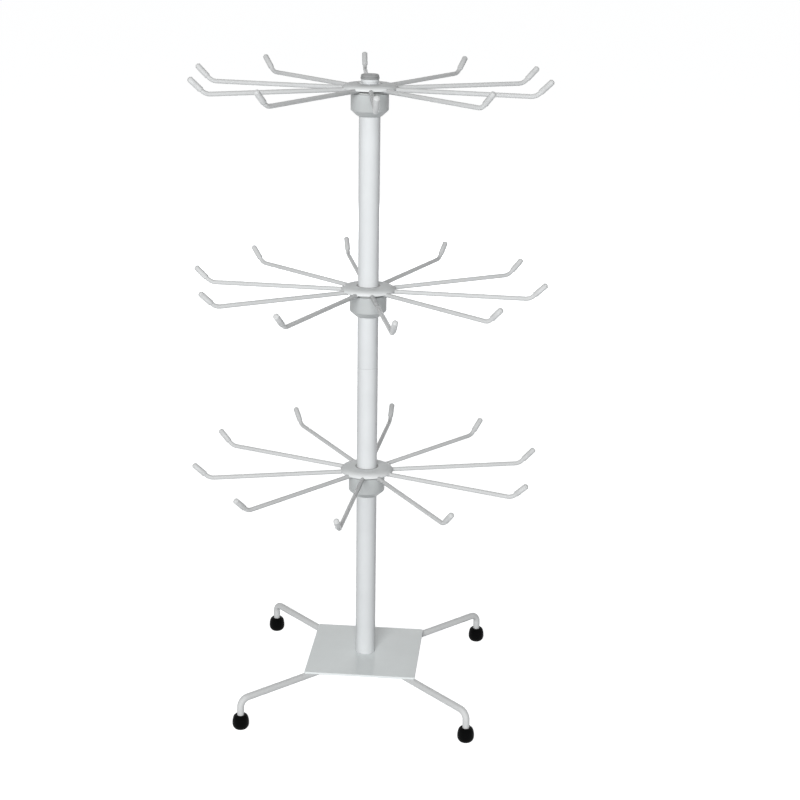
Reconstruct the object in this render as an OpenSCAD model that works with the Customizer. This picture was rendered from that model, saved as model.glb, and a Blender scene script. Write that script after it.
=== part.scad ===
// Countertop rotating display rack: a square base plate on four bent legs, a round pole in
// two sections and three tiers of wire hooks, each tier turning freely on the pole.
// Frame: the origin is on the floor under the pole axis, +Z is up and the front faces -Y.

/* [Pole] */
// Outer diameter of the pole
pole_d = 19; // [16:0.5:24]
// Wall thickness of the pole tube
pole_wall = 1.5; // [1:0.1:2]
// Height above the floor of the joint between the two pole sections
pole_joint_z = 322; // [290:1:350]
// Length of the sleeve inside that joint
connector_len = 60; // [40:1:80]
// Length of pole that shows above the top disc
pole_stub = 3.8; // [2:0.2:8]
// Outer diameter of the neck at the top of the pole
pole_neck_d = 16; // [14:0.5:18]

/* [Tiers] */
// Height of the underside of the top disc
top_tier_z = 577; // [540:1:620]
// Height of the underside of the middle disc
middle_tier_z = 396; // [380:1:420]
// Height of the underside of the bottom disc
bottom_tier_z = 222; // [180:1:250]
// Direction of the first hook of the top tier, from +X
top_turn = 26; // [0:1:35]
// Direction of the first hook of the middle tier, from +X
middle_turn = 32; // [0:1:35]
// Direction of the first hook of the bottom tier, from +X
bottom_turn = 15; // [0:1:35]
// Number of hooks on a tier
hook_count = 10; // [6:2:12]
// Diameter of a tier's disc
disc_d = 49; // [46:0.5:70]
// Thickness of a tier's disc
disc_t = 3.2; // [2:0.1:4]
// How far the disc's rim reaches down past its underside
disc_lip = 1.5; // [0.5:0.1:1.6]

/* [Hooks] */
// Diameter of the hook wire
wire_d = 4; // [3:0.1:4.5]
// Distance from the pole axis to the corner of the hook
hook_reach = 147; // [110:1:180]
// Length of the upturned tip, from the corner
hook_tip_len = 20; // [14:0.5:30]
// Angle of the upturned tip above the wire
hook_tip_angle = 44; // [30:1:70]
// Centreline radius of the hook's bend
hook_bend_r = 11; // [5:0.5:14]
// Outer diameter of the sleeve over the tip
tip_sleeve_d = 5.2; // [4.9:0.1:7]
// Length of that sleeve
tip_sleeve_len = 13.5; // [6:0.5:13.5]

/* [Collars] */
// Outer diameter of the collar under each tier
collar_d = 33.6; // [31:0.2:40]
// Height of the collar
collar_h = 20; // [16:0.5:26]
// Height of the cone at the foot of the collar
collar_cone_h = 5; // [3:0.5:7]
// Wall thickness of the collar at its foot
collar_foot_wall = 1.6; // [0.7:0.05:3]
// Diameter of the grub screw that holds a collar on the pole
grub_d = 5; // [4:1:6]

/* [Base] */
// Side of the square base plate
plate_w = 105; // [90:1:130]
// Thickness of the base plate
plate_t = 2; // [1.5:0.1:4]
// Height of the top of the base plate
plate_top_z = 34; // [31:0.5:45]
// Distance between the centres of two neighbouring feet
foot_spacing = 208; // [170:1:260]
// Diameter of the leg rod
leg_d = 6.5; // [5:0.5:8]
// Centreline radius of the leg's bend
leg_bend_r = 8; // [7:0.5:12]
// Height of a rubber foot
foot_h = 14; // [12:0.5:15]
// Largest diameter of a rubber foot
foot_d = 15.5; // [14:0.5:18]

/* [Hidden] */
$fn = 64;

// Clearances, all radial
run_gap = 0.05;    // pole in a turning bush
slip_gap = 0.05;   // pole in a collar or a washer
press_gap = 0.02;  // plugs, sleeves and screws that are pressed or screwed home
hole_gap = 0.2;    // bolt in its clearance hole
flange_gap = 0.3;  // inner end of a wire from the bush's flange

// Wires and rods are welded on; each sits this deep in the sheet above it
weld_set = 0.4;
bend_relief = 0.03; // radius that a rod loses where it is drawn out past its bend
bend_overlap = 0.1; // length of the straight part that is inside the bend
edge = 0.5;         // small chamfer on cut edges
sleeve_edge = 0.3;  // chamfer on the ends of a tip's sleeve
sleeve_set = 1;     // how far the wire's end stands out of its sleeve
tube_edge = 0.3;    // smaller chamfer on the ends of the pole sections
plate_corner_r = 2;

bore_d = pole_d - 2 * pole_wall;
neck_bore_d = pole_neck_d - 2 * pole_wall;
neck_rise = 0.4;     // shoulder of the neck above the top disc

// Bush: a sleeve through the disc, with a flange that fills the ring inside the wires
bush_wall = 1.3;
bush_flange_w = 3.5; // how far the flange stands out from the pole
bush_drop = 0.4;     // how far the flange reaches below the wires
bush_d = pole_d + 2 * bush_wall;
bush_flange_d = pole_d + 2 * bush_flange_w;
bush_flange_t = wire_d - weld_set + bush_drop;

washer_w = 5.5;      // how far the washer stands out from the pole
washer_t = 1;
washer_d = pole_d + 2 * washer_w;

// Disc: flat in the middle, with a domed shoulder that falls to the rim
disc_dome_w = 8;     // width of the shoulder
disc_dome_h = 3.7;     // fall of the shoulder
disc_lip_w = 2.2;    // thickness of the rim

hook_inner_r = bush_flange_d / 2 + flange_gap;
hook_tangent = hook_bend_r * tan(hook_tip_angle / 2);
hook_axis_drop = wire_d / 2 - weld_set;

collar_top_drop = bush_flange_t + washer_t;
collar_foot_d = pole_d + 2 * (slip_gap + collar_foot_wall);
grub_recess = 0.8;
grub_key = 2.5;      // across flats of the grub screw's socket
grub_key_depth = 2.5;
grub_h = collar_cone_h + (collar_h - collar_cone_h) / 2;

connector_wall = 2;
insert_len = 18;

cap_stem_len = 10;
cap_overhang = 0.3;  // rim of the cap past the outside of the neck
cap_rim_h = 1.7;
cap_rim_edge = 0.2;
cap_step = 0.3;      // dome from the edge of the rim
cap_dome_h = 2.5;
cap_dome_edge = 1.2;
cap_rim_d = pole_neck_d + 2 * cap_overhang;
cap_dome_d = cap_rim_d - 2 * cap_step;

bolt_d = 8;
bolt_head_af = 13;
bolt_head_h = 5.3;
bolt_washer_d = 24;
bolt_washer_t = 1.6;
bolt_reach = 14;     // thread length inside the pole insert

leg_inner_r = 22;
leg_axis_z = plate_top_z - plate_t - leg_d / 2 + weld_set;
foot_r = foot_spacing / sqrt(2);
foot_socket_z = 4;   // rubber left under the end of the leg
foot_sole_d = 7.5;   // flat underside
foot_waist_h = 5.5;  // height at which the foot is widest
foot_wall = 2;       // rubber around the leg at the top of the foot
foot_top_d = leg_d + 2 * foot_wall;

pole_top_z = top_tier_z + disc_t + pole_stub;

// Tier table: name, height of the disc's underside, direction of the first hook
TIERS = [
    ["top", top_tier_z, top_turn],
    ["middle", middle_tier_z, middle_turn],
    ["bottom", bottom_tier_z, bottom_turn],
];
// Corner table: name, direction from the pole axis
CORNERS = [
    ["rear_right", 45],
    ["rear_left", 135],
    ["front_left", 225],
    ["front_right", 315],
];

function hook_name(tier, i) = str(tier[0], "_hook_", i < 9 ? "0" : "", i + 1);
function hook_angle(tier, i) = tier[2] + i * 360 / hook_count;

// ---- shared shapes ----

// A square outline with rounded corners, centred on the origin
module rounded_square(w, r) {
    c = w / 2 - r;
    polygon([
        for (q = [0 : 3], a = [0 : 15 : 90])
            [c * sign(cos(q * 90 + 45)) + r * cos(q * 90 + a),
             c * sign(sin(q * 90 + 45)) + r * sin(q * 90 + a)]
    ]);
}

// A tube standing on z = 0 with small chamfers on its outer edges
module tube(outer_d, inner_d, h, chamfer) {
    rotate_extrude()
        polygon([
            [inner_d / 2, 0], [outer_d / 2 - chamfer, 0], [outer_d / 2, chamfer],
            [outer_d / 2, h - chamfer], [outer_d / 2 - chamfer, h], [inner_d / 2, h],
        ]);
}

// A round rod along +X from x0, bent up by the angle turn with its corner at x = corner,
// and then straight for tail past the end of the bend; both ends are chamfered
module bent_rod(d, x0, corner, bend_r, turn, tail) {
    x1 = corner - bend_r * tan(turn / 2);
    tail_d = d - 2 * bend_relief;
    translate([x0, 0, 0]) rotate([0, 90, 0]) {
        cylinder(d1 = d - 2 * edge, d2 = d, h = edge);
        translate([0, 0, edge]) cylinder(d = d, h = x1 - x0 - edge);
    }
    translate([x1, 0, bend_r]) {
        rotate([90, 0, 0]) rotate([0, 0, -90])
            rotate_extrude(angle = turn) translate([bend_r, 0]) circle(d = d);
        rotate([0, -turn, 0]) translate([-bend_overlap, 0, -bend_r]) rotate([0, 90, 0]) {
            cylinder(d = tail_d, h = tail + bend_overlap - edge);
            translate([0, 0, tail + bend_overlap - edge])
                cylinder(d1 = tail_d, d2 = tail_d - 2 * edge, h = edge);
        }
    }
}

// ---- base ----

// The straight part of a leg under the plate, for the shallow seat that it is welded into
module leg_seat(angle) {
    rotate([0, 0, angle]) translate([leg_inner_r, 0, leg_axis_z]) rotate([0, 90, 0])
        cylinder(d = leg_d, h = plate_w);
}

module base_plate() {
    color("gainsboro") difference() {
        translate([0, 0, plate_top_z - plate_t])
            linear_extrude(plate_t) rounded_square(plate_w, plate_corner_r);
        translate([0, 0, plate_top_z - 2 * plate_t])
            cylinder(d = bolt_d + 2 * hole_gap, h = 3 * plate_t);
        for (corner = CORNERS) leg_seat(corner[1]);
    }
}

module leg(angle) {
    drop = leg_axis_z - leg_bend_r - foot_socket_z;
    color("gainsboro") rotate([0, 0, angle]) translate([0, 0, leg_axis_z]) mirror([0, 0, 1])
        bent_rod(leg_d, leg_inner_r, foot_r, leg_bend_r, 90, drop);
}

// A rubber foot: egg-shaped, with a flat underside and a socket for the leg
module foot(angle) {
    sole_r = foot_sole_d / 2;
    top_r = foot_top_d / 2;
    below = foot_d / 2 - sole_r;
    above = foot_d / 2 - top_r;
    rise = foot_h - edge - foot_waist_h;
    color([0.08, 0.08, 0.08]) rotate([0, 0, angle]) translate([foot_r, 0, 0]) rotate_extrude()
        polygon(concat(
            [[0, 0]],
            [for (a = [-90 : 15 : 0]) [sole_r + below * cos(a), foot_waist_h * (1 + sin(a))]],
            [for (a = [15 : 15 : 75]) [top_r + above * cos(a), foot_waist_h + rise * sin(a)]],
            [[top_r, foot_h - edge], [top_r - edge, foot_h]],
            [[leg_d / 2 + press_gap, foot_h], [leg_d / 2 + press_gap, foot_socket_z]],
            [[0, foot_socket_z]]
        ));
}

module base_washer() {
    color("silver") translate([0, 0, plate_top_z - plate_t - bolt_washer_t])
        tube(bolt_washer_d, bolt_d + 2 * hole_gap, bolt_washer_t, tube_edge);
}

// Hexagon bolt from below, through washer and plate into the pole insert
module base_bolt() {
    head_top = plate_top_z - plate_t - bolt_washer_t;
    color("silver") {
        translate([0, 0, head_top - bolt_head_h])
            cylinder(d = bolt_head_af / cos(30), h = bolt_head_h, $fn = 6);
        translate([0, 0, head_top]) cylinder(d = bolt_d, h = plate_top_z + bolt_reach - head_top);
    }
}

// ---- pole ----

// Threaded plug pressed into the foot of the pole
module pole_foot_insert() {
    color("silver") translate([0, 0, plate_top_z])
        tube(bore_d - 2 * press_gap, bolt_d + 2 * press_gap, insert_len, tube_edge);
}

module pole_lower() {
    color("white") translate([0, 0, plate_top_z])
        tube(pole_d, bore_d, pole_joint_z - plate_top_z, tube_edge);
}

// Top section, which narrows above the top disc to a neck of the same wall
module pole_upper() {
    shoulder = top_tier_z + disc_t + neck_rise - pole_joint_z;
    top = pole_top_z - pole_joint_z;
    color("white") translate([0, 0, pole_joint_z]) rotate_extrude()
        polygon([
            [bore_d / 2, 0], [pole_d / 2 - tube_edge, 0], [pole_d / 2, tube_edge],
            [pole_d / 2, shoulder - tube_edge], [pole_d / 2 - tube_edge, shoulder],
            [pole_neck_d / 2, shoulder], [pole_neck_d / 2, top], [neck_bore_d / 2, top],
            [neck_bore_d / 2, shoulder - pole_wall],
            [bore_d / 2, shoulder - pole_wall - (pole_d - pole_neck_d) / 2],
        ]);
}

// Sleeve inside the joint, half of it in each section
module pole_connector() {
    outer_d = bore_d - 2 * press_gap;
    color("silver") translate([0, 0, pole_joint_z - connector_len / 2])
        tube(outer_d, outer_d - 2 * connector_wall, connector_len, edge);
}

// Plug that closes the neck: a stem, a rim that rests on the neck and a low dome
module top_cap() {
    dome_top = cap_rim_h + cap_dome_h;
    color("darkgray") translate([0, 0, pole_top_z]) rotate_extrude()
        polygon([
            [0, -cap_stem_len], [neck_bore_d / 2 - edge - press_gap, -cap_stem_len],
            [neck_bore_d / 2 - press_gap, edge - cap_stem_len], [neck_bore_d / 2 - press_gap, 0],
            [cap_rim_d / 2, 0], [cap_rim_d / 2, cap_rim_h - cap_rim_edge],
            [cap_rim_d / 2 - cap_rim_edge, cap_rim_h], [cap_dome_d / 2, cap_rim_h],
            [cap_dome_d / 2, dome_top - cap_dome_edge],
            [cap_dome_d / 2 - cap_dome_edge, dome_top], [0, dome_top],
        ]);
}

// ---- collars ----

// Radial place of a grub screw, at the back of the collar
module at_grub(tier) {
    translate([0, 0, tier[1] - collar_top_drop - collar_h + grub_h]) rotate([-90, 0, 0])
        children();
}

module collar(tier) {
    color("lightgray") difference() {
        translate([0, 0, tier[1] - collar_top_drop - collar_h]) rotate_extrude()
            polygon([
                [pole_d / 2 + slip_gap, 0], [collar_foot_d / 2, 0],
                [collar_d / 2, collar_cone_h], [collar_d / 2, collar_h - edge],
                [collar_d / 2 - edge, collar_h], [pole_d / 2 + slip_gap, collar_h],
            ]);
        at_grub(tier) cylinder(d = grub_d, h = collar_d);
    }
}

// One grub screw in each collar, its flat point against the pole
module collar_grub_screws() {
    length = collar_d / 2 - grub_recess - pole_d / 2;
    color("silver") for (tier = TIERS) at_grub(tier) translate([0, 0, pole_d / 2])
        difference() {
            cylinder(d = grub_d - 2 * press_gap, h = length);
            translate([0, 0, length - grub_key_depth])
                cylinder(d = grub_key / cos(30), h = 2 * grub_key_depth, $fn = 6);
        }
}

// ---- turning tiers ----

// Slip ring between the fixed collar and the turning bush
module thrust_washer(tier) {
    color("whitesmoke") translate([0, 0, tier[1] - collar_top_drop])
        tube(washer_d, pole_d + 2 * slip_gap, washer_t, edge / 2);
}

module hub_bush(tier) {
    color("whitesmoke") translate([0, 0, tier[1]]) rotate_extrude()
        polygon([
            [pole_d / 2 + run_gap, -bush_flange_t], [bush_flange_d / 2, -bush_flange_t],
            [bush_flange_d / 2, 0], [bush_d / 2, 0],
            [bush_d / 2, disc_t], [pole_d / 2 + run_gap, disc_t],
        ]);
}

// Axis of one hook's wire, with +X running outwards from the pole
module at_hook(tier, i) {
    translate([0, 0, tier[1] - hook_axis_drop]) rotate([0, 0, hook_angle(tier, i)]) children();
}

// Disc that carries the hooks, with a seat underneath and through its rim for each wire
module hub_disc(tier) {
    rim_r = disc_d / 2;
    flat_r = rim_r - disc_dome_w;
    shoulder = disc_t - disc_dome_h;
    color("lightgray") difference() {
        translate([0, 0, tier[1]]) rotate_extrude()
            polygon(concat(
                [[bush_d / 2 + press_gap, 0], [rim_r - disc_lip_w, 0]],
                [[rim_r - disc_lip_w, -disc_lip], [rim_r - tube_edge, -disc_lip]],
                [[rim_r, tube_edge - disc_lip]],
                [for (a = [0 : 15 : 90])
                    [flat_r + disc_dome_w * cos(a), shoulder + disc_dome_h * sin(a)]],
                [[bush_d / 2 + press_gap, disc_t]]
            ));
        for (i = [0 : hook_count - 1]) at_hook(tier, i)
            translate([hook_inner_r, 0, 0]) rotate([0, 90, 0]) cylinder(d = wire_d, h = disc_d);
    }
}

// The soft sleeve over the straight of a hook's tip
module tip_sleeve() {
    d = tip_sleeve_d;
    len = tip_sleeve_len;
    start = hook_tip_len - sleeve_set - len;
    translate([hook_reach, 0, 0]) rotate([0, 90 - hook_tip_angle, 0]) translate([0, 0, start]) {
        cylinder(d1 = d - 2 * sleeve_edge, d2 = d, h = sleeve_edge);
        translate([0, 0, sleeve_edge]) cylinder(d = d, h = len - 2 * sleeve_edge);
        translate([0, 0, len - sleeve_edge])
            cylinder(d1 = d, d2 = d - 2 * sleeve_edge, h = sleeve_edge);
    }
}

module hook(tier, i) {
    color("white") at_hook(tier, i) {
        bent_rod(wire_d, hook_inner_r, hook_reach, hook_bend_r, hook_tip_angle,
                 hook_tip_len - hook_tangent);
        tip_sleeve();
    }
}

// ---- what is drawn ----

base_plate();
base_bolt();
base_washer();
pole_foot_insert();
pole_lower();
pole_connector();
pole_upper();
top_cap();
collar_grub_screws();
for (corner = CORNERS) {
    leg(corner[1]);
    foot(corner[1]);
}
for (tier = TIERS) {
    collar(tier);
    thrust_washer(tier);
    hub_bush(tier);
    hub_disc(tier);
    for (i = [0 : hook_count - 1])
        hook(tier, i);
}
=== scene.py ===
"""Studio scene of a countertop rotating display rack.

A square plate on four bent legs carries a round pole. Three tiers of upturned wire hooks turn on
the pole, each on a bush that rests on a fixed collar. Lengths are in millimetres in the size
fields and in metres in the meshes.
"""

from __future__ import annotations

import logging
import math
from collections.abc import Callable, Iterable, Sequence
from dataclasses import dataclass
from enum import Enum
from functools import cache, cached_property

import bmesh
import bpy
from mathutils import Matrix, Vector


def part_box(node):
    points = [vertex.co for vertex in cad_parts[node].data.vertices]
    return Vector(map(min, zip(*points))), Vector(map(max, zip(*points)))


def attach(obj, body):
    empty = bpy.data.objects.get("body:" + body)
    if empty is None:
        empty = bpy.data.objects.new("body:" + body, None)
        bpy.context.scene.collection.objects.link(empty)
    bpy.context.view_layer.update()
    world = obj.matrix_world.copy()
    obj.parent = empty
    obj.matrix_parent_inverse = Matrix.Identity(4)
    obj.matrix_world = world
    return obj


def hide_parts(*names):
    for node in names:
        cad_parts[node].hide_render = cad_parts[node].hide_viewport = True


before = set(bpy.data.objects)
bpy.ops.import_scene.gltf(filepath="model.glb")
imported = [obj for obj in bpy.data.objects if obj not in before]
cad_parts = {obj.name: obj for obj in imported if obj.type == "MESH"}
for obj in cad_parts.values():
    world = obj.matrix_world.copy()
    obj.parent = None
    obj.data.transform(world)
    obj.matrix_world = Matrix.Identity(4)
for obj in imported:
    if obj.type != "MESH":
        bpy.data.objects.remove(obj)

LOG = logging.getLogger("display_rack")
MM = 0.001
FULL_TURN = 2 * math.pi
QUARTER_TURN = math.pi / 2
SHARP_ANGLE = math.radians(38)
HEXAGON_SLANT = math.cos(math.radians(30))
ALONG_Y = Matrix.Rotation(-QUARTER_TURN, 4, "X")  # lays down along +Y what stands along +Z
ON_AXIS = 1e-6  # a turned point with a smaller radius in millimetres is a pole
SAME_PLACE = 1e-7  # vertices nearer to each other than this, in metres, become one
SLIP = 0.02  # keeps two fitted surfaces from sharing a place, in millimetres
OVERCUT = 1.0  # how far a cutter reaches past what it cuts, in millimetres
WAVE_PHASE = 20  # radians that a wave texture's bands run in a metre, at scale 1

Point2 = tuple[float, float]
Colour = tuple[float, float, float]
Mesh = bpy.types.Mesh
Socket = bpy.types.NodeSocket


class Body(Enum):
    """The bodies of the rack: the part that stands still and the three that turn."""

    FRAME = "frame"
    TOP = "top_tier"
    MIDDLE = "middle_tier"
    BOTTOM = "bottom_tier"


class Tier(Enum):
    """The tiers of hooks, by the word that starts the names of their pieces."""

    TOP = "top"
    MIDDLE = "middle"
    BOTTOM = "bottom"

    @property
    def body(self) -> Body:
        """Returns the body that turns with this tier."""
        return Body[self.name]


class Corner(Enum):
    """The corners of the base, by the word that ends the names of their pieces."""

    REAR_RIGHT = "rear_right"
    REAR_LEFT = "rear_left"
    FRONT_LEFT = "front_left"
    FRONT_RIGHT = "front_right"


class BendSide(Enum):
    """Which way a rod is bent at its corner."""

    UP = 1.0
    DOWN = -1.0


# --- Node trees ---


class Nodes:
    """A node tree under construction."""

    def __init__(self, tree: bpy.types.NodeTree) -> None:
        """Takes a tree and empties it.

        Args:
            tree: The tree to build in.
        """
        self.tree = tree
        tree.nodes.clear()

    def node(self, kind: str, **settings: object) -> bpy.types.Node:
        """Adds a node.

        Args:
            kind: The node's type.
            settings: Properties to set on the node.

        Returns:
            The new node.
        """
        node = self.tree.nodes.new(kind)
        for key, value in settings.items():
            setattr(node, key, value)
        return node

    def feed(self, target: Socket, source: object) -> None:
        """Gives an input socket its value.

        Args:
            target: The input socket.
            source: A field, an output socket or a constant.
        """
        if isinstance(source, Field):
            source = source.socket
        if isinstance(source, Socket):
            self.tree.links.new(source, target)
        else:
            target.default_value = source

    def made(
        self, kind: str, out: str, inputs: dict[str | int, object], **settings: object
    ) -> Socket:
        """Adds a node with its inputs fed.

        Args:
            kind: The node's type.
            out: The name of the output to give.
            inputs: What to feed to each input, by its name or number.
            settings: Properties to set on the node.

        Returns:
            The output.
        """
        node = self.node(kind, **settings)
        for key, source in inputs.items():
            self.feed(node.inputs[key], source)
        return node.outputs[out]

    def seen_directly(self) -> Socket:
        """Returns a factor that is 1 where the camera sees a thing, also in gloss or in glass."""
        rays = self.node("ShaderNodeLightPath").outputs
        total = rays["Is Camera Ray"]
        for ray in ("Is Glossy Ray", "Is Transmission Ray"):
            both = {0: total, 1: rays[ray]}
            total = self.made("ShaderNodeMath", "Value", both, operation="ADD", use_clamp=True)
        return total


# --- Finishes ---


def linear(colour: Colour) -> tuple[float, float, float, float]:
    """Turns a display colour into the linear colour that a shader socket takes.

    Args:
        colour: Red, green and blue as they look on a display, from 0 to 1.

    Returns:
        The linear red, green and blue, and an alpha of 1.
    """
    knee, slope, offset, power = 0.04045, 12.92, 0.055, 2.4
    red, green, blue = (
        c / slope if c <= knee else ((c + offset) / (1 + offset)) ** power for c in colour
    )
    return red, green, blue, 1.0


class Shader(Nodes):
    """A node material under construction."""

    def __init__(self, name: str) -> None:
        """Starts a material that holds only its output and one Principled shader.

        Args:
            name: The material's name.
        """
        self.material = bpy.data.materials.new(name)
        self.material.use_nodes = True
        super().__init__(self.material.node_tree)
        self.output = self.node("ShaderNodeOutputMaterial")
        self.principled = self.node("ShaderNodeBsdfPrincipled")
        self.feed(self.output.inputs["Surface"], self.principled.outputs["BSDF"])

    @cached_property
    def place(self) -> Socket:
        """Returns the coordinates that patterns are drawn on, in metres on the object."""
        return self.node("ShaderNodeTexCoord").outputs["Object"]

    def settle(self, **values: object) -> None:
        """Feeds the Principled shader's own sockets.

        Args:
            values: Socket names with underscores for spaces, and what each one gets.
        """
        for key, value in values.items():
            self.feed(self.principled.inputs[key.replace("_", " ")], value)

    def noise(self, cells: float, detail: float = 2.0) -> Socket:
        """Adds a cloudy pattern.

        Args:
            cells: Pattern cells per metre.
            detail: Octaves of finer pattern.

        Returns:
            The pattern's value, around 0.5.
        """
        inputs = {"Vector": self.place, "Scale": cells, "Detail": detail}
        return self.made("ShaderNodeTexNoise", "Fac", inputs)

    def spread(self, value: Socket, low: float, high: float) -> Socket:
        """Maps the middle of a cloudy pattern to a range.

        Args:
            value: The pattern's value.
            low: What the pattern's low parts become.
            high: What the pattern's high parts become.

        Returns:
            The mapped value.
        """
        limits = {"From Min": 0.3, "From Max": 0.7, "To Min": low, "To Max": high}
        return self.made("ShaderNodeMapRange", "Result", {"Value": value, **limits})

    def tint(self, value: Socket, low: Colour, high: Colour) -> None:
        """Colours the surface between two display colours.

        Args:
            value: The pattern that picks between them.
            low: The colour where the pattern is 0.
            high: The colour where the pattern is 1.
        """
        inputs = {"Factor": value, "A": linear(low), "B": linear(high)}
        self.settle(Base_Color=self.made("ShaderNodeMix", "Result", inputs, data_type="RGBA"))

    def shade(self, value: Socket, colour: Colour, *factors: float) -> None:
        """Colours the surface, a little darker where a cloudy pattern is low.

        Args:
            value: The pattern's value.
            colour: The display colour.
            factors: What its red, green and blue are multiplied by in the dark parts.
        """
        darker: Colour = tuple(c * factor for c, factor in zip(colour, factors))
        self.tint(self.spread(value, 0.0, 1.0), darker, colour)

    def dull(self, value: Socket, roughness: float, swing: float) -> None:
        """Makes the surface rougher where a cloudy pattern is low.

        Args:
            value: The pattern's value.
            roughness: The middle of the roughness.
            swing: How far it goes up and down.
        """
        self.settle(Roughness=self.spread(value, roughness + swing, roughness - swing))

    def relief(self, height: float, *layers: tuple[Socket, float]) -> None:
        """Adds bump from patterns, one over another.

        Args:
            height: The height of the relief in metres.
            layers: Each pattern's value and its strength.
        """
        below: dict[str, Socket] = {}
        for value, strength in layers:
            inputs = {"Strength": strength, "Distance": height, "Height": value, **below}
            below = {"Normal": self.made("ShaderNodeBump", "Normal", inputs)}
        self.settle(**below)


@dataclass(frozen=True)
class Finish:
    """A surface finish.

    Attributes:
        name: The material's name.
        slot: The record's material slot.
        colour: Its display colour.
        roughness: The middle of its roughness.
    """

    name: str
    slot: str
    colour: Colour
    roughness: float

    def apply(self, shader: Shader) -> None:
        """Adds the patterns and constants of the finish.

        Args:
            shader: The material to add them to.
        """
        raise NotImplementedError


@dataclass(frozen=True)
class PowderCoat(Finish):
    """Sprayed and baked paint: a faint orange peel, and gloss that drifts a little.

    Attributes:
        peel: The strength of the orange peel.
        gloss: How much the surface mirrors; 0.5 is usual for paint.
    """

    peel: float = 0.05
    gloss: float = 0.5

    def apply(self, shader: Shader) -> None:
        """Adds the paint's patterns and constants; see Finish."""
        drift = shader.noise(cells=45.0)
        orange_peel, grit = shader.noise(620.0, detail=1.0), shader.noise(2600.0, detail=3.0)
        shader.shade(drift, self.colour, 0.985, 0.985, 0.985)
        shader.dull(drift, self.roughness, swing=0.04)
        shader.relief(0.0004, (orange_peel, self.peel), (grit, self.peel / 3))
        shader.settle(IOR=1.5, Specular_IOR_Level=self.gloss)


@dataclass(frozen=True)
class TurnedGrey(Finish):
    """Satin grey coat on a turned collar, with the tool's rings showing through.

    Attributes:
        ring_pitch: The distance between tool rings in millimetres.
    """

    ring_pitch: float = 0.45

    def apply(self, shader: Shader) -> None:
        """Adds the coat's patterns and constants; see Finish."""
        drift = shader.noise(cells=60.0)
        inputs = {
            "Vector": shader.place,
            "Scale": FULL_TURN / (WAVE_PHASE * self.ring_pitch * MM),
            "Distortion": 0.6,
            "Detail Scale": 0.4,
        }
        bands = {"wave_type": "BANDS", "bands_direction": "Z"}
        rings = shader.made("ShaderNodeTexWave", "Fac", inputs, **bands)
        shader.shade(drift, self.colour, 0.97, 0.97, 0.97)
        shader.dull(drift, self.roughness, swing=0.05)
        shader.relief(0.0003, (rings, 0.08), (shader.noise(cells=900.0), 0.1))
        shader.settle(IOR=1.5)


@dataclass(frozen=True)
class MouldedPlastic(Finish):
    """Moulded plastic with the fine texture that the mould leaves."""

    def apply(self, shader: Shader) -> None:
        """Adds the plastic's patterns and constants; see Finish."""
        drift, texture = shader.noise(cells=120.0), shader.noise(3400.0, detail=4.0)
        shader.shade(drift, self.colour, 0.94, 0.94, 0.94)
        shader.dull(texture, self.roughness, swing=0.06)
        shader.relief(0.0002, (texture, 0.12))
        shader.settle(IOR=1.5)


@dataclass(frozen=True)
class BlackRubber(Finish):
    """Black moulded rubber: fine pits, and dust that dulls it towards the floor.

    Attributes:
        dust: The display colour of the rubber where dust lies.
        dust_cover: How much of the rubber the dust hides at the floor.
        dust_height: How high the dust reaches, in millimetres.
    """

    dust: Colour = (0.07, 0.07, 0.07)
    dust_cover: float = 0.7
    dust_height: float = 1.0

    def apply(self, shader: Shader) -> None:
        """Adds the rubber's patterns and constants; see Finish."""
        pits, smears = shader.noise(2200.0, detail=3.0), shader.noise(420.0, detail=3.0)
        height = shader.made("ShaderNodeSeparateXYZ", "Z", {"Vector": shader.place})
        limits = {"From Max": self.dust_height * MM, "To Min": self.dust_cover, "To Max": 0.0}
        low = shader.made("ShaderNodeMapRange", "Result", {"Value": height, **limits})
        dusty = shader.made("ShaderNodeMath", "Value", {0: low, 1: smears}, operation="MULTIPLY")
        shader.tint(dusty, self.colour, self.dust)
        shader.dull(smears, self.roughness, swing=0.06)
        shader.relief(0.0002, (pits, 0.25))
        shader.settle(IOR=1.5, Specular_IOR_Level=0.04)


@dataclass(frozen=True)
class ZincPlate(Finish):
    """Bright zinc plating on steel, with the blue cast and haze that it has."""

    def apply(self, shader: Shader) -> None:
        """Adds the plating's patterns and constants; see Finish."""
        haze = shader.noise(260.0, detail=3.0)
        shader.shade(haze, self.colour, 1.0, 0.985, 0.95)
        shader.dull(haze, self.roughness, swing=0.06)
        shader.relief(0.0002, (shader.noise(cells=1900.0), 0.08))
        shader.settle(Metallic=1.0)


# These five whites stand for the rack's one white powder coat: each tone is set to how bright its
# part looks under this light, so the differences between them are painted light and shade.
POLE_WHITE = PowderCoat("pole_white", "pole_coat", (0.848, 0.858, 0.863), 0.15, gloss=0.2)
WIRE_WHITE = PowderCoat("wire_white", "wire_coat", (0.80, 0.805, 0.805), 0.26, peel=0.03)
LEG_WHITE = PowderCoat("leg_white", "leg_coat", (0.81, 0.816, 0.816), 0.26)
PLATE_WHITE = PowderCoat("plate_white", "plate_coat", (0.90, 0.92, 0.92), 0.16, peel=0.03)
DISC_WHITE = PowderCoat("disc_white", "disc_coat", (0.865, 0.875, 0.875), 0.34, gloss=0.1)
COLLAR_GREY = TurnedGrey("collar_grey", "collar_coat", (0.725, 0.738, 0.738), 0.34)
CAP_GREY = MouldedPlastic("cap_grey", "cap_plastic", (0.585, 0.59, 0.59), 0.38)
FOOT_BLACK = BlackRubber("foot_black", "foot_rubber", (0.02, 0.022, 0.022), 0.46)
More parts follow.
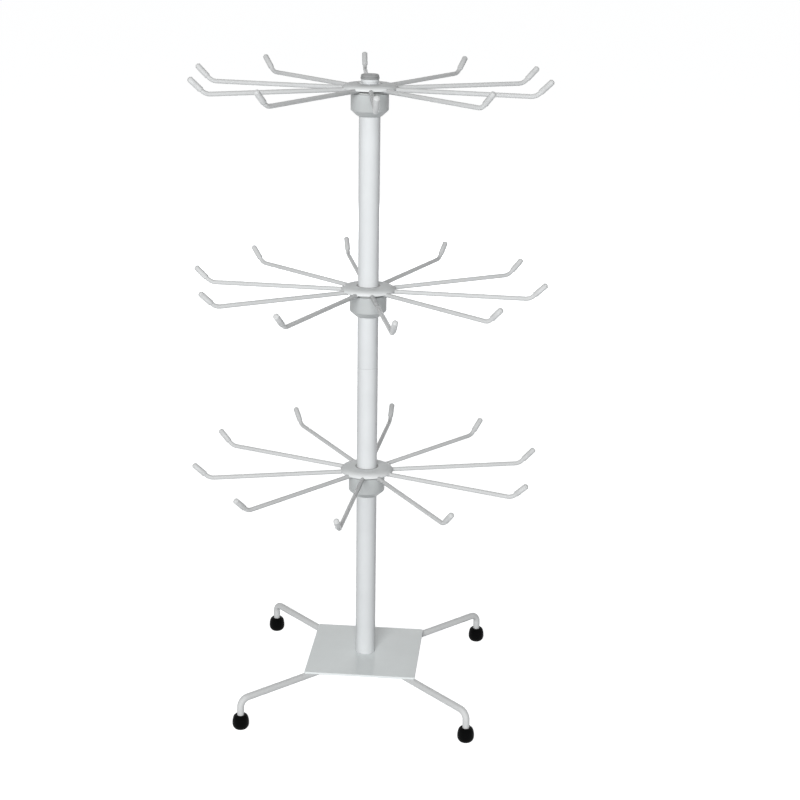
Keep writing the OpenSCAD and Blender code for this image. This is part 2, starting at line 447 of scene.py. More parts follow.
# The bush's grey is set darker than the slip ring's so the gap under the disc reads dark: its tone
# is partly painted shade.
BUSH_NYLON = MouldedPlastic("bush_grey", "bush_nylon", (0.62, 0.625, 0.62), 0.42)
WASHER_NYLON = MouldedPlastic("washer_white", "washer_nylon", (0.82, 0.825, 0.82), 0.42)
TIP_VINYL = MouldedPlastic("tip_vinyl", "wire_coat", (0.815, 0.82, 0.82), 0.32)
BRIGHT_ZINC = ZincPlate("bright_zinc", "plated_steel", (0.80, 0.82, 0.84), 0.32)


@cache
def material_of(finish: Finish) -> bpy.types.Material:
    """Makes a finish's material once and hands it out after that.

    Args:
        finish: The finish.

    Returns:
        Its material.
    """
    shader = Shader(finish.name)
    finish.apply(shader)
    return shader.material


# --- Mesh making ---


def piece_from(name: str, mesh: Mesh) -> bpy.types.Object:
    """Puts a mesh into the scene as an object at the origin.

    Args:
        name: The object's name.
        mesh: Its mesh, with its place in its vertices.

    Returns:
        The object.
    """
    mesh.name = name
    piece = bpy.data.objects.new(name, mesh)
    bpy.context.scene.collection.objects.link(piece)
    return piece


def smooth_faces(mesh: Mesh) -> Mesh:
    """Shades a mesh smooth, but for its sharp edges.

    Args:
        mesh: The mesh to shade.

    Returns:
        The same mesh.
    """
    mesh.shade_smooth()
    mesh.set_sharp_from_angle(angle=SHARP_ANGLE)
    return mesh


def finished(work: bmesh.types.BMesh) -> Mesh:
    """Turns a mesh under construction into a smooth mesh whose faces point out.

    Args:
        work: The mesh under construction, which is used up.

    Returns:
        The mesh.
    """
    bmesh.ops.remove_doubles(work, verts=work.verts, dist=SAME_PLACE)
    bmesh.ops.recalc_face_normals(work, faces=work.faces)
    mesh = bpy.data.meshes.new("work")
    work.to_mesh(mesh)
    work.free()
    return smooth_faces(mesh)


def rounded(corners: Sequence[Point2], radii: Sequence[float], steps: int = 4) -> list[Point2]:
    """Rounds the corners of a closed outline.

    Args:
        corners: The outline's corners, in order.
        radii: The radius at each corner; 0 leaves it sharp.
        steps: How many straight pieces each arc has.

    Returns:
        The outline with its arcs.
    """
    outline: list[Point2] = []
    for index, radius in enumerate(radii):
        here = Vector(corners[index])
        if radius <= 0:
            outline.append(tuple(here))
            continue
        back = (Vector(corners[index - 1]) - here).normalized()
        ahead = (Vector(corners[(index + 1) % len(corners)]) - here).normalized()
        half = back.angle(ahead) / 2
        cut = radius / math.tan(half)
        centre = here + (back + ahead).normalized() * (radius / math.sin(half))
        start, end = here + back * cut - centre, here + ahead * cut - centre
        turn = start.angle_signed(end)
        for step in range(steps + 1):
            spoke = start.copy()
            spoke.rotate(Matrix.Rotation(-turn * step / steps, 2))
            outline.append(tuple(centre + spoke))
    return outline


def oval(centre: Point2, across: float, up: float, degrees: range) -> list[Point2]:
    """Gives points on an upright oval.

    Args:
        centre: The oval's centre.
        across: Its half width.
        up: Its half height.
        degrees: The angle of each point from +X.

    Returns:
        The points.
    """
    angles = [math.radians(angle) for angle in degrees]
    return [(centre[0] + across * math.cos(a), centre[1] + up * math.sin(a)) for a in angles]


def lathe(outline: Sequence[Point2], sides: int) -> Mesh:
    """Turns a closed outline round the Z axis into a closed mesh.

    Args:
        outline: Radius and height of each point in millimetres. Points on the axis are poles.
        sides: How many sides the turned shape has.

    Returns:
        The mesh, with its faces pointing out.
    """
    work = bmesh.new()
    angles = [FULL_TURN * side / sides for side in range(sides)]
    rings: list[list[bmesh.types.BMVert]] = []
    for radius, height in outline:
        spots = [(0.0, 0.0)]
        if radius >= ON_AXIS:
            spots = [(radius * MM * math.cos(a), radius * MM * math.sin(a)) for a in angles]
        rings.append([work.verts.new((x, y, height * MM)) for x, y in spots])
    for index, ring in enumerate(rings):
        other = rings[(index + 1) % len(rings)]
        if len(ring) == len(other) == 1:
            continue
        for side in range(sides):
            after = (side + 1) % sides
            if len(ring) == 1:
                face = (ring[0], other[after], other[side])
            elif len(other) == 1:
                face = (ring[side], ring[after], other[0])
            else:
                face = (ring[side], ring[after], other[after], other[side])
            work.faces.new(face)
    return finished(work)


def turned(
    span: Point2, inner: float, outer: float, radii: Sequence[float], sides: int, steps: int = 4
) -> Mesh:
    """Turns a ring, a tube or a rod with rounded edges.

    Args:
        span: Its lowest and highest height in millimetres.
        inner: The radius of its bore, or 0.
        outer: Its outer radius.
        radii: The edges' radii: at the bore and outside below, then outside and at the bore above.
        sides: How many sides it has.
        steps: How many straight pieces each edge has.

    Returns:
        The mesh.
    """
    low, high = span
    corners = [(inner, low), (outer, low), (outer, high), (inner, high)]
    return lathe(rounded(corners, radii, steps), sides)


def cylinder(radius: float, low: float, high: float, sides: int) -> Mesh:
    """Turns a plain cylinder, to cut with.

    Args:
        radius: Its radius in millimetres.
        low: Its lowest height.
        high: Its highest height.
        sides: How many sides it has.

    Returns:
        The mesh.
    """
    return lathe([(0.0, low), (radius, low), (radius, high), (0.0, high)], sides)


def layered(levels: Iterable[tuple[float, Sequence[Point2]]], ends_first: bool = False) -> Mesh:
    """Skins outlines that lie one over another, and closes the lowest and the highest.

    Args:
        levels: The height of each outline and its corners, in millimetres.
        ends_first: Whether the end faces come before the sides, an order that a Boolean follows.

    Returns:
        The closed mesh.
    """
    work = bmesh.new()
    rings = [
        [work.verts.new((x * MM, y * MM, z * MM)) for x, y in outline] for z, outline in levels
    ]
    ends = [list(reversed(rings[0])), rings[-1]]
    sides = [
        (ring[index - 1], ring[index], above[index], above[index - 1])
        for ring, above in zip(rings, rings[1:])
        for index in (*range(1, len(ring)), 0)
    ]
    for face in [*ends, *sides] if ends_first else [*sides, *ends]:
        work.faces.new(face)
    return finished(work)


def hexagon_bar(across_flats: float, low: float, high: float) -> Mesh:
    """Stands a hexagon up between two heights.

    Args:
        across_flats: The distance between opposite flats in millimetres.
        low: The lower height.
        high: The upper height.

    Returns:
        The closed mesh.
    """
    reach = across_flats / 2 / HEXAGON_SLANT
    angles = [FULL_TURN * side / 6 for side in range(6)]
    corners = [(reach * math.cos(a), reach * math.sin(a)) for a in angles]
    return layered([(low, corners), (high, corners)], ends_first=True)


def moved(mesh: Mesh, *turns: Matrix) -> Mesh:
    """Moves a mesh's own vertices.

    Args:
        mesh: The mesh to move.
        turns: The matrices to apply, the last one first.

    Returns:
        The same mesh.
    """
    total = Matrix.Identity(4)
    for turn in turns:
        total = total @ turn
    mesh.transform(total)
    return mesh


def baked(source: bpy.types.Object) -> Mesh:
    """Evaluates an object's modifiers into a plain mesh and removes the object.

    Args:
        source: The object with its modifiers.

    Returns:
        The plain mesh.
    """
    graph = bpy.context.evaluated_depsgraph_get()
    graph.update()
    mesh = bpy.data.meshes.new_from_object(source.evaluated_get(graph))
    bpy.data.objects.remove(source)
    return mesh


def combined(mesh: Mesh, other: Mesh, operation: str = "DIFFERENCE") -> Mesh:
    """Cuts or intersects a closed mesh with another.

    Args:
        mesh: The mesh to work on.
        other: The other mesh.
        operation: The Boolean modifier's operation.

    Returns:
        A new smooth-shaded mesh.
    """
    target, tool = piece_from("boolean_target", mesh), piece_from("boolean_tool", other)
    modifier = target.modifiers.new("combine", "BOOLEAN")
    modifier.operation = operation
    modifier.solver = "EXACT"
    modifier.object = tool
    result = baked(target)
    bpy.data.objects.remove(tool)
    return smooth_faces(result)


def merged(meshes: Iterable[Mesh]) -> Mesh:
    """Puts several closed meshes into one mesh, each as it is.

    Args:
        meshes: The meshes.

    Returns:
        One mesh that holds them all.
    """
    work = bmesh.new()
    for mesh in meshes:
        work.from_mesh(mesh)
    result = bpy.data.meshes.new("work")
    work.to_mesh(result)
    work.free()
    return smooth_faces(result)


# --- Geometry Nodes ---


def _operation(name: str) -> Callable[..., Field]:
    """Makes one of the arithmetic methods of Field.

    Args:
        name: The operation of the Math node that it adds.

    Returns:
        The method, which takes the operands after the field itself.
    """

    def method(self: Field, *others: Field | float) -> Field:
        """Returns the result of the operation as a field."""
        return self.tree.math(name, self, *others)

    return method


class Field:
    """A value in a geometry tree, with the arithmetic that the trees need."""

    def __init__(self, tree: GeometryTree, socket: Socket) -> None:
        """Wraps an output socket of a tree."""
        self.tree = tree
        self.socket = socket

    __add__ = _operation("ADD")
    __sub__ = _operation("SUBTRACT")
    __mul__ = _operation("MULTIPLY")
    __truediv__ = _operation("DIVIDE")
    __gt__ = _operation("GREATER_THAN")
    __lt__ = _operation("LESS_THAN")
    sin = _operation("SINE")
    cos = _operation("COSINE")
    tan = _operation("TANGENT")

    def __rsub__(self, other: float) -> Field:
        """Returns the difference from a plain number."""
        return self.tree.math("SUBTRACT", other, self)

    def clamped(self) -> Field:
        """Returns the value kept between 0 and 1."""
        kept = self.tree.math("ADD", self, 0.0)
        kept.socket.node.use_clamp = True
        return kept


class GeometryTree(Nodes):
    """A Geometry Nodes tree under construction, with named inputs for its sizes."""

    def __init__(self, name: str, sizes: Iterable[str], takes_piece: bool = False) -> None:
        """Starts a tree.

        Args:
            name: The tree's name.
            sizes: The names of its number inputs.
            takes_piece: Whether it also takes a piece to copy.
        """
        super().__init__(bpy.data.node_groups.new(name, "GeometryNodeTree"))
        self.tree.is_modifier = True
        kinds = {"Geometry": "Geometry", **dict.fromkeys(sizes, "Float"), "Finish": "Material"}
        if takes_piece:
            kinds["Piece"] = "Object"
        add = self.tree.interface.new_socket
        self.identifiers = {
            key: add(name=key, in_out="INPUT", socket_type=f"NodeSocket{kind}").identifier
            for key, kind in kinds.items()
        }
        add(name="Geometry", in_out="OUTPUT", socket_type="NodeSocketGeometry")
        self.start = self.node("NodeGroupInput")

    def field(
        self, kind: str, out: str, inputs: dict[str | int, object], **settings: object
    ) -> Field:
        """Adds a node with its inputs fed, as made does, and gives its output as a field."""
        return Field(self, self.made(kind, out, inputs, **settings))

    def math(self, operation: str, *values: Field | float) -> Field:
        """Adds a Math node.

        Args:
            operation: The node's operation.
            values: Its operands.

        Returns:
            Its result.
        """
        inputs = dict(enumerate(values))
        return self.field("ShaderNodeMath", "Value", inputs, operation=operation)

    def size(self, name: str) -> Field:
        """Returns one of the tree's number inputs."""
        return Field(self, self.start.outputs[name])

    def index(self) -> Field:
        """Returns the number of each point, from 0."""
        return self.field("GeometryNodeInputIndex", "Index", {})

    def vector(self, x: Field | float, y: Field | float, z: Field | float) -> Field:
        """Returns a vector put together from its three parts."""
        return self.field("ShaderNodeCombineXYZ", "Vector", {"X": x, "Y": y, "Z": z})

    def finish(self, geometry: Field) -> None:
        """Ends the tree: instances are made real and the finish is put on.

        Args:
            geometry: What the tree has built.
        """
        real = self.made("GeometryNodeRealizeInstances", "Geometry", {"Geometry": geometry})
        inputs = {"Geometry": real, "Material": self.start.outputs["Finish"]}
        coated = self.made("GeometryNodeSetMaterial", "Geometry", inputs)
        self.feed(self.node("NodeGroupOutput").inputs["Geometry"], coated)

    def build(
        self,
        base: Mesh,
        sizes: dict[str, float],
        finish: Finish,
        piece: bpy.types.Object | None = None,
    ) -> Mesh:
        """Runs the tree on a mesh.

        Args:
            base: The mesh that the tree starts from.
            sizes: A value for each of the tree's number inputs.
            finish: The finish to put on.
            piece: The piece to copy, if the tree takes one; it is removed afterwards.

        Returns:
            The plain mesh that the tree makes.
        """
        carrier = piece_from("carrier", base)
        modifier = carrier.modifiers.new(self.tree.name, "NODES")
        modifier.node_group = self.tree
        for name, value in sizes.items():
            modifier[self.identifiers[name]] = float(value)
        modifier[self.identifiers["Finish"]] = material_of(finish)
        if piece is not None:
            modifier[self.identifiers["Piece"]] = piece
        mesh = baked(carrier)
        if piece is not None:
            bpy.data.objects.remove(piece)
        return smooth_faces(mesh)


END_STEPS = 3
BEND_STEPS = 14
ROD_SIDES = 28


def bent_rod_tree() -> GeometryTree:
    """Builds the tree of a round rod with one bend.

    The rod lies along +X from its inner end, turns at its corner and runs on straight. Point
    number i of its path belongs to the inner end, the bend or the outer end, and its place is
    worked out from i. Both ends have a rounded edge.

    Returns:
        The tree, whose sizes are in metres and radians.
    """
    tree = GeometryTree(
        "bent_rod",
        ("Radius", "Inner", "Corner", "Bend radius", "Turn", "Tail", "Edge", "Height", "Side"),
    )
    last_start, first_end = END_STEPS, END_STEPS + BEND_STEPS + 2
    last = first_end + END_STEPS
    index = tree.index()
    radius, edge, bend_radius = tree.size("Radius"), tree.size("Edge"), tree.size("Bend radius")
    turn = tree.size("Turn")
    bend_start = tree.size("Corner") - bend_radius * (turn / 2).tan()
    angle = ((index - (last_start + 1)) / BEND_STEPS).clamped() * turn
    start_arc = (index / END_STEPS).clamped() * QUARTER_TURN
    end_arc = ((last - index) / END_STEPS).clamped() * QUARTER_TURN
    in_start = last_start + 0.5 > index
    in_end = index > first_end - 0.5
    along = in_end * (tree.size("Tail") - edge * (1.0 - end_arc.cos())) - in_start * (
        bend_start - tree.size("Inner") - edge * (1.0 - start_arc.cos())
    )
    x = bend_start + bend_radius * angle.sin() + along * angle.cos()
    rise = bend_radius * (1.0 - angle.cos()) + along * angle.sin()
    z = tree.size("Height") + rise * tree.size("Side")
    thickness = radius - edge * (1.0 - start_arc.sin()) - edge * (1.0 - end_arc.sin())
    line = tree.made("GeometryNodeMeshLine", "Mesh", {"Count": last + 1})
    path = tree.made("GeometryNodeMeshToCurve", "Curve", {"Mesh": line})
    places = {"Geometry": path, "Position": tree.vector(x, 0.0, z)}
    bent = tree.made("GeometryNodeSetPosition", "Geometry", places)
    circle = {"Resolution": ROD_SIDES, "Radius": 1.0}
    section = tree.made("GeometryNodeCurvePrimitiveCircle", "Curve", circle)
    sweep = {"Curve": bent, "Profile Curve": section, "Scale": thickness, "Fill Caps": True}
    tree.finish(tree.field("GeometryNodeCurveToMesh", "Mesh", sweep))
    return tree


def copies_tree() -> GeometryTree:
    """Builds the tree that sets copies of a piece round the pole.

    The tree starts from a mesh of loose points. Copy number i stands at point i, turned by the
    first direction and i steps, and pushed out from the axis.

    Returns:
        The tree, whose sizes are in metres and radians.
    """
    tree = GeometryTree("copies_round_pole", ("First", "Step", "Out"), takes_piece=True)
    direction = tree.size("First") + tree.index() * tree.size("Step")
    out = tree.size("Out")
    offset = tree.vector(out * direction.cos(), out * direction.sin(), 0.0)
    pushes = {"Geometry": tree.start.outputs["Geometry"], "Offset": offset}
    pushed = tree.made("GeometryNodeSetPosition", "Geometry", pushes)
    wanted = {"Object": tree.start.outputs["Piece"]}
    copied = tree.made("GeometryNodeObjectInfo", "Geometry", wanted)
    turns = tree.vector(0.0, 0.0, direction)
    sets = {"Points": pushed, "Instance": copied, "Rotation": turns}
    tree.finish(tree.field("GeometryNodeInstanceOnPoints", "Instances", sets))
    return tree


BENT_ROD = bent_rod_tree()
COPIES = copies_tree()


def bent_rod(lengths: dict[str, float], turn: float, side: BendSide, finish: Finish) -> Mesh:
    """Makes a rod with one bend, along +X.

    Args:
        lengths: The lengths in millimetres, by the names of the tree's inputs.
        turn: The angle of the bend in radians.
        side: Which way it bends.
        finish: Its finish.

    Returns:
        The rod's mesh.
    """
    sizes = {name: length * MM for name, length in lengths.items()}
    sizes |= {"Turn": turn, "Side": side.value}
    return BENT_ROD.build(bpy.data.meshes.new("seed"), sizes, finish)


def copies(
    mesh: Mesh,
    heights: Iterable[float],
    finish: Finish,
    first: float = 0.0,
    step: float = 0.0,
    out: float = 0.0,
) -> Mesh:
    """Sets copies of a mesh round the pole.

    Args:
        mesh: The mesh to copy, made round the origin.
        heights: The height of each copy in millimetres.
        finish: The finish of the copies.
        first: The direction of the first copy in degrees from +X.
        step: The angle from one copy to the next in degrees.
        out: The distance of the copies from the axis in millimetres.

    Returns:
        One mesh with all the copies.
    """
    points = bpy.data.meshes.new("points")
    points.from_pydata([(0.0, 0.0, height * MM) for height in heights], [], [])
    sizes = {"First": math.radians(first), "Step": math.radians(step), "Out": out * MM}
    return COPIES.build(points, sizes, finish, piece_from("copied", mesh))


# --- Sub-assemblies ---


def heights_of(node: str) -> tuple[float, float]:
    """Returns the lowest and highest height of a CAD node in millimetres."""
    low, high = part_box(node)
    return low.z / MM, high.z / MM


def dress(
    name: str,
    mesh: Mesh,
    finish: Finish,
    body: Body = Body.FRAME,
    nodes: Sequence[str] | None = None,
) -> None:
    """Makes a mesh a finished piece that stands for its CAD nodes, if it has any.

    Args:
        name: The piece's name.
        mesh: Its mesh.
        finish: Its finish.
        body: The body that it moves with.
        nodes: The CAD nodes that it stands for; None means the one of the same name.
    """
    mesh.materials.clear()
    mesh.materials.append(material_of(finish))
    piece = piece_from(name, mesh)
    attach(piece, body.value)
    nodes = [name] if nodes is None else nodes
    if nodes:
        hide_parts(*nodes)
    LOG.info("%s: %d faces, rides on %s", name, len(mesh.polygons), body.value)


def coat_node(node: str, finish: Finish) -> None:
    """Gives a CAD node that stays as it is a better finish.

    Args:
        node: The node's name.
        finish: Its finish.
    """
    for material_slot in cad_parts[node].material_slots:
        material_slot.material = material_of(finish)
    LOG.info("%s: kept, finished in %s", node, finish.name)


@dataclass(frozen=True)
class WeldBead:
    """A small rippled weld bead that hangs under a face.

    Attributes:
        length: Its length.
        width: Its half width.
        height: How far it hangs down.
    """

    length: float
    width: float
    height: float

    def mesh(self, seed: int) -> Mesh:
        """Returns a bead along +X under z = 0.

        Args:
            seed: Picks where its ripples fall.
        """
        work = bmesh.new()
        bmesh.ops.create_uvsphere(work, u_segments=16, v_segments=12, radius=1.0)
        ripples, ripple_depth, taper_depth, taper_turn = 5, 0.07, 0.12, 2.1
        for vertex in work.verts:
            along, across, up = vertex.co
            ripple = 1 + ripple_depth * math.sin(ripples * math.pi * along + seed)
            taper = 1 - taper_depth * math.sin(taper_turn * along + seed)
            vertex.co = (
                along * self.length / 2 * MM,
                across * self.width * taper * ripple * MM,
                up * self.height * ripple * MM,
            )
        return finished(work)

    def pair(self, reach: float, aside: float, height: float, seed: int) -> Mesh:
        """Returns a bead on either side of a rod along +X.

        Args:
            reach: The distance of the beads' middle from the axis.
            aside: The distance of each bead from the rod's centreline.
            height: The height of the face that they hang under.
            seed: Picks where their ripples fall.
        """
        beads = []
        for side in (-1, 1):
            spot = (reach * MM, side * aside * MM, height * MM)
            beads.append(moved(self.mesh(seed + side), Matrix.Translation(spot)))
        return merged(beads)


@dataclass
class RotatingPart:
    """What the pieces of one tier share; the heights are read from the frame.

    Attributes:
        tier: The tier.
        first: The direction of its first hook in degrees from +X.
        lip: How far the rim of its disc reaches down past the disc's underside.
        wire: The diameter of its wires.
        inner: The distance of a wire's inner end from the axis.
        count: The number of wires.
    """

    tier: Tier
    first: float
    lip: float = 1.5
    wire: float = 4.0
    inner: float = 13.3
    count: int = 10

    def node(self, piece: str) -> str:
        """Returns the name of one of the tier's CAD nodes."""
        return f"{self.tier.value}_{piece}"

    def span(self, piece: str) -> tuple[float, float]:
        """Returns the lowest and highest height of a piece in millimetres."""
        return heights_of(self.node(piece))

    @property
    def underside(self) -> float:
        """Returns the height of the underside of the tier's disc in millimetres."""
        return self.span("hub_disc")[0] + self.lip

    def ring(self, mesh: Mesh, finish: Finish) -> Mesh:
        """Returns the copies of a mesh made along +X, one for each wire.

        Args:
            mesh: The mesh to copy.
            finish: Its finish.
        """
        return copies(mesh, [0.0] * self.count, finish, self.first, 360 / self.count)


@dataclass
class Collar(RotatingPart):
    """The fixed collar under a tier: a turned ring with a cone at its foot and one grub screw.

    Attributes:
        bore: The collar's bore.
        outside: Its outer diameter.
        foot: The diameter of its foot.
        cone: The height of the cone at its foot.
        edge: The radius of its edges.
        screw: The diameter of the hole for the grub screw.
    """

    bore: float = 19.1
    outside: float = 33.6
    foot: float = 22.3
    cone: float = 5.0
    edge: float = 0.7
    screw: float = 5.0

    @property
    def screw_height(self) -> float:
        """Returns the height of the grub screw's axis, in the middle of the straight part."""
        low, high = self.span("collar")
        return low + self.cone + (high - low - self.cone) / 2

    def mesh(self) -> Mesh:
        """Returns the collar's mesh, with its hole at the back."""
        low, high = self.span("collar")
        inner, outer = self.bore / 2, self.outside / 2
        corners = [
            (inner, low), (self.foot / 2, low), (outer, low + self.cone), (outer, high),
            (inner, high),
        ]
        body = lathe(rounded(corners, [0.0, 0.3, 1.4, self.edge, 0.3], steps=6), 128)
        up = Matrix.Translation((0.0, 0.0, self.screw_height * MM))
        return combined(body, moved(cylinder(self.screw / 2, 0.0, outer, 40), up, ALONG_Y))

    def build(self) -> None:
        """Builds and dresses the collar."""
        dress(self.node("collar"), self.mesh(), COLLAR_GREY)


@dataclass
class GrubScrews:
    """The socket set screws of the collars, in one node.

    Attributes:
        heights: The height of each screw's axis.
        across: The screw's diameter.
        inner: The distance of its flat point from the pole's axis.
        length: Its length.
        key: The size of its hexagon socket across flats.
        key_depth: The depth of that socket.
        pitch: The pitch of its thread.
        depth: The depth of its thread, and of the chamfer at its outer end.
        point: The chamfer at its flat point.
        plain: The length without thread at either end.
    """

    heights: Sequence[float]
    across: float = 4.9
    inner: float = 9.5
    length: float = 6.0
    key: float = 2.5
    key_depth: float = 2.5
    pitch: float = 0.8
    depth: float = 0.35
    point: float = 0.3
    plain: float = 0.4

    def screw(self) -> Mesh:
        """Returns one screw along +Y, with thread ridges and a hexagon socket."""
        radius, end = self.across / 2, self.length
        root = radius - self.depth
        outline: list[Point2] = [(0.0, 0.0), (root - self.point, 0.0), (root, self.point)]
        for turn in range(int((end - 2 * self.plain) / self.pitch)):
            foot = self.plain + turn * self.pitch
            outline += [(root, foot), (radius, foot + self.pitch / 2)]
        outline += [(root, end - self.depth), (root - self.depth, end), (0.0, end)]
        socket = hexagon_bar(self.key, end - self.key_depth, end + OVERCUT)
        out = Matrix.Translation((0.0, self.inner * MM, 0.0))
        return moved(combined(lathe(outline, 36), socket), out, ALONG_Y)

    def build(self) -> None:
        """Builds and dresses the screws, one in each collar."""
        mesh = copies(self.screw(), self.heights, BRIGHT_ZINC)
        dress("collar_grub_screws", mesh, BRIGHT_ZINC)


@dataclass
class TurningHub(RotatingPart):
    """The turning middle of a tier: the disc, its bush, and the slip ring that it rests on.

    Attributes:
        disc: The disc's diameter.
        lip_width: The thickness of the disc's rim.
        dome_width: The width of the disc's domed shoulder.
        dome_height: How far that shoulder falls.
        edge: The radius of the rim's lower edges.
        chamfer: The chamfer at the disc's hole.
        bush: The outer diameter of the bush's sleeve.
        flange: The diameter of the bush's flange.
        bore: The bush's bore.
        slip_ring: The slip ring's diameter.
        weld: The weld beads at each wire.
        weld_seed: Picks where their ripples fall.
    """

    disc: float = 49.0
    lip_width: float = 2.2
    dome_width: float = 8.0
    dome_height: float = 3.7
    edge: float = 0.3
    chamfer: float = 0.15
    bush: float = 21.6
    flange: float = 26.0
    bore: float = 19.1
    slip_ring: float = 30.0
    weld: WeldBead = WeldBead(length=7.0, width=1.5, height=1.3)
    weld_seed: int = 7

    def disc_mesh(self) -> Mesh:
        """Returns the disc's mesh: flat in the middle, with a domed shoulder and a rim."""
        low, high = self.span("hub_disc")
        inner, outer = self.bush / 2 + SLIP, self.disc / 2
        lip, flat = outer - self.lip_width, outer - self.dome_width
        shoulder = high - self.dome_height
        under = rounded(
            [(inner, self.underside), (lip, self.underside), (lip, low), (outer, low),
             (outer, shoulder)],
            [0.0, 0.0, self.edge, self.edge, 0.0],
        )
        dome = oval((flat, shoulder), self.dome_width, self.dome_height, range(6, 91, 6))
        top = [(inner + self.chamfer, high), (inner, high - self.chamfer)]
        return lathe([*under, *dome, *top], 160)

    def bush_mesh(self) -> Mesh:
        """Returns the flanged bush's mesh."""
        low, high = self.span("hub_bush")
        shoulder = self.underside
        inner, sleeve, flange = self.bore / 2, self.bush / 2, self.flange / 2
        corners = [
            (inner, low), (flange, low), (flange, shoulder), (sleeve, shoulder), (sleeve, high),
            (inner, high),
        ]
        return lathe(rounded(corners, [0.2, 0.4, 0.2, 0.0, 0.15, 0.2]), 112)

    def build(self) -> None:
        """Builds and dresses the disc with its welds, the bush and the slip ring."""
        body = self.tier.body
        reach = (self.inner + self.disc / 2 - self.lip_width) / 2
        disc = self.disc_mesh()
        pair = self.weld.pair(reach, self.wire / 2, self.underside, self.weld_seed)
        welds = self.ring(pair, DISC_WHITE)
        dress(self.node("hub_disc"), merged([disc, welds]), DISC_WHITE, body)
        dress(self.node("hub_bush"), self.bush_mesh(), BUSH_NYLON, body)
        inner, outer = self.bore / 2, self.slip_ring / 2
        ring = turned(self.span("thrust_washer"), inner, outer, [0.1, 0.3, 0.3, 0.1], 112)
        dress(self.node("thrust_washer"), ring, WASHER_NYLON)


@dataclass
class WireHooks(RotatingPart):
    """The upturned wire hooks of one tier, with a soft sleeve over each tip.

    Attributes:
        reach: The distance of a hook's corner from the axis.
        bend: The centreline radius of the bend.
        turn: The angle of the tip above the wire in degrees.
        tip: The length of the tip from the corner.
        set_in: How deep the wire sits in the disc.
        edge: The radius of the edge that the paint leaves on a cut end.
        sleeve: The outer diameter of the sleeve.
        sleeve_length: Its length.
        sleeve_set: How far the wire's end stands out of it.
        sleeve_edge: The radius of its outer edges.
        sleeve_grip: How far its bore lies inside the wire's surface.
    """

    reach: float = 147.0
    bend: float = 11.0
    turn: float = 44.0
    tip: float = 20.0
    set_in: float = 0.4
    edge: float = 0.9
    sleeve: float = 5.2
    sleeve_length: float = 13.5
    sleeve_set: float = 1.0
    sleeve_edge: float = 0.35
    sleeve_grip: float = 0.05

    @property
    def axis_height(self) -> float:
        """Returns the height of the wires' centrelines in millimetres."""
        return self.underside - self.wire / 2 + self.set_in

    def hook(self) -> Mesh:
        """Returns one hook along +X."""
        turn = math.radians(self.turn)
        lengths = {
            "Radius": self.wire / 2,
            "Inner": self.inner,
            "Corner": self.reach,
            "Bend radius": self.bend,
            "Tail": self.tip - self.bend * math.tan(turn / 2),
            "Edge": self.edge,
            "Height": self.axis_height,
        }
        return bent_rod(lengths, turn, BendSide.UP, WIRE_WHITE)

    def tip_sleeve(self) -> Mesh:
        """Returns the sleeve over the tip of a hook along +X."""
        inner, outer = self.wire / 2 - self.sleeve_grip, self.sleeve / 2
        radii = [0.0, self.sleeve_edge, self.sleeve_edge, 0.0]
        mesh = turned((0.0, self.sleeve_length), inner, outer, radii, 40)
        start = self.tip - self.sleeve_set - self.sleeve_length
        turn = math.radians(self.turn)
        across, height = start * math.cos(turn), start * math.sin(turn)
        foot = Vector((self.reach + across, 0.0, self.axis_height + height))
        lean = Matrix.Rotation(QUARTER_TURN - turn, 4, "Y")
        return moved(mesh, Matrix.Translation(foot * MM), lean)

    def build(self) -> None:
        """Builds and dresses the tier's hooks as one mesh, and their sleeves as another."""
        nodes = [self.node(f"hook_{number:02d}") for number in range(1, self.count + 1)]
        hooks = self.ring(self.hook(), WIRE_WHITE)
        dress(self.node("hooks"), hooks, WIRE_WHITE, self.tier.body, nodes)
        sleeves = self.ring(self.tip_sleeve(), TIP_VINYL)
        dress(self.node("tip_sleeves"), sleeves, TIP_VINYL, self.tier.body, [])


